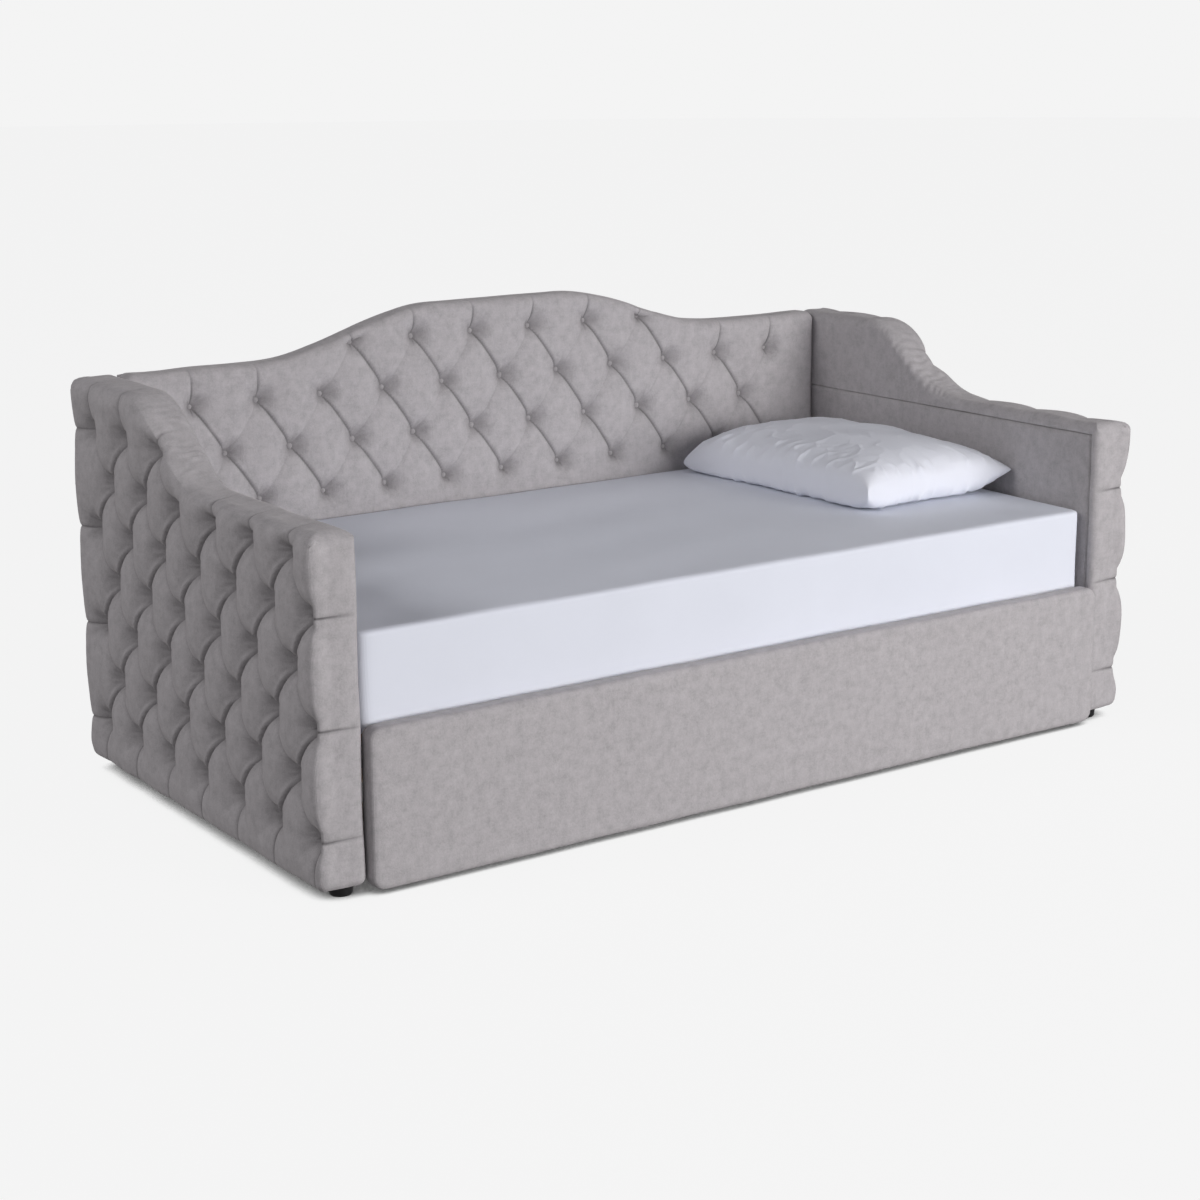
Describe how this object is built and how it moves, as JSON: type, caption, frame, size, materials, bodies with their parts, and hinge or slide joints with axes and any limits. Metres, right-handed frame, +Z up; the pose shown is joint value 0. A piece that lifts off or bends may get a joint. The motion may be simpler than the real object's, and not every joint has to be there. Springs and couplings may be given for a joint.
{
  "type": "daybed",
  "caption": "Upholstered daybed with a button-tufted camel back, low sloping arms, a slatted deck with mattress and pillow, and a padded roll-out trundle on casters.",
  "frame": {"origin": "on the floor in the middle of the daybed's length and depth", "axes": "+X along the length towards the arm at the pillow's end, -Y out of the open front, +Z up"},
  "size_m": [2.134, 1.092, 0.976],
  "materials": {
    "velvet": "short-pile chenille velvet with a mottled nap",
    "foam": "upholstery foam",
    "timber": "planed softwood and plywood",
    "painted_steel": "black powder coat",
    "zinc_steel": "bright zinc plating",
    "black_plastic": "moulded, satin",
    "wheel_rubber": "moulded tread",
    "webbing": "woven polyester tape",
    "mattress_ticking": "knitted ticking",
    "white_cotton": "plain-weave cotton sheet",
    "pillow_cotton": "plain-weave cotton pillowcase"
  },
  "bodies": {
    "daybed_frame": {"back_frame": "timber", "back_foam": "foam", "back_cover": "velvet", "back_outside_panel": "velvet", "back_buttons": "velvet", "left_arm_frame": "timber", "left_arm_foam": "foam", "left_arm_cover": "velvet", "left_arm_top_roll": "velvet", "left_arm_inner_panel": "velvet", "left_arm_buttons": "velvet", "right_arm_frame": "timber", "right_arm_foam": "foam", "right_arm_cover": "velvet", "right_arm_top_roll": "velvet", "right_arm_inner_panel": "velvet", "right_arm_buttons": "velvet", "front_rail": "painted_steel", "back_rail": "painted_steel", "deck_slats": "timber", "slat_straps": "webbing", "rail_bolts": "zinc_steel", "rail_nuts": "zinc_steel", "corner_brackets": "painted_steel", "bracket_screws": "zinc_steel", "front_left_foot": "black_plastic", "front_right_foot": "black_plastic", "rear_left_foot": "black_plastic", "rear_right_foot": "black_plastic", "foot_screws": "zinc_steel"},
    "trundle": {"trundle_front_board": "timber", "trundle_front_foam": "foam", "trundle_front_cover": "velvet", "trundle_left_side": "timber", "trundle_right_side": "timber", "trundle_back_board": "timber", "trundle_front_ledger": "timber", "trundle_rear_ledger": "timber", "trundle_centre_bearer": "timber", "trundle_slats": "timber", "trundle_corner_brackets": "painted_steel", "trundle_screws": "zinc_steel", "front_left_caster_housing": "painted_steel", "front_right_caster_housing": "painted_steel", "rear_left_caster_housing": "painted_steel", "rear_right_caster_housing": "painted_steel", "front_left_caster_axle": "zinc_steel", "front_right_caster_axle": "zinc_steel", "rear_left_caster_axle": "zinc_steel", "rear_right_caster_axle": "zinc_steel"},
    "front_left_wheel": {"front_left_caster_wheel": "wheel_rubber"},
    "front_right_wheel": {"front_right_caster_wheel": "wheel_rubber"},
    "rear_left_wheel": {"rear_left_caster_wheel": "wheel_rubber"},
    "rear_right_wheel": {"rear_right_caster_wheel": "wheel_rubber"},
    "mattress": {"mattress": "mattress_ticking", "fitted_sheet": "white_cotton"},
    "pillow": {"pillow": "pillow_cotton"}
  },
  "joints": [
    {"name": "trundle_slide", "type": "slide", "parent": "daybed_frame", "child": "trundle", "axis": [0, -1, 0], "range_m": [0, 0.98]},
    {"name": "front_left_wheel_spin", "type": "hinge", "parent": "trundle", "child": "front_left_wheel", "pos_m": [-0.86, -0.477, 0.02], "axis": [1, 0, 0], "range_deg": [0, 2809]},
    {"name": "front_right_wheel_spin", "type": "hinge", "parent": "trundle", "child": "front_right_wheel", "pos_m": [0.86, -0.477, 0.02], "axis": [1, 0, 0], "range_deg": [0, 2809]},
    {"name": "rear_left_wheel_spin", "type": "hinge", "parent": "trundle", "child": "rear_left_wheel", "pos_m": [-0.86, 0.375, 0.02], "axis": [1, 0, 0], "range_deg": [0, 2809]},
    {"name": "rear_right_wheel_spin", "type": "hinge", "parent": "trundle", "child": "rear_right_wheel", "pos_m": [0.86, 0.375, 0.02], "axis": [1, 0, 0], "range_deg": [0, 2809]},
    {"name": "mattress_lift", "type": "slide", "parent": "daybed_frame", "child": "mattress", "axis": [0, 0, 1], "range_m": [0, 0.7]},
    {"name": "pillow_lift", "type": "slide", "parent": "mattress", "child": "pillow", "axis": [0, 0, 1], "range_m": [0, 0.5]}
  ],
  "couplings": [
    {"joint": "front_left_wheel_spin", "follows": "trundle_slide", "rad_per_m": 50},
    {"joint": "front_right_wheel_spin", "follows": "trundle_slide", "rad_per_m": 50},
    {"joint": "rear_left_wheel_spin", "follows": "trundle_slide", "rad_per_m": 50},
    {"joint": "rear_right_wheel_spin", "follows": "trundle_slide", "rad_per_m": 50}
  ]
}
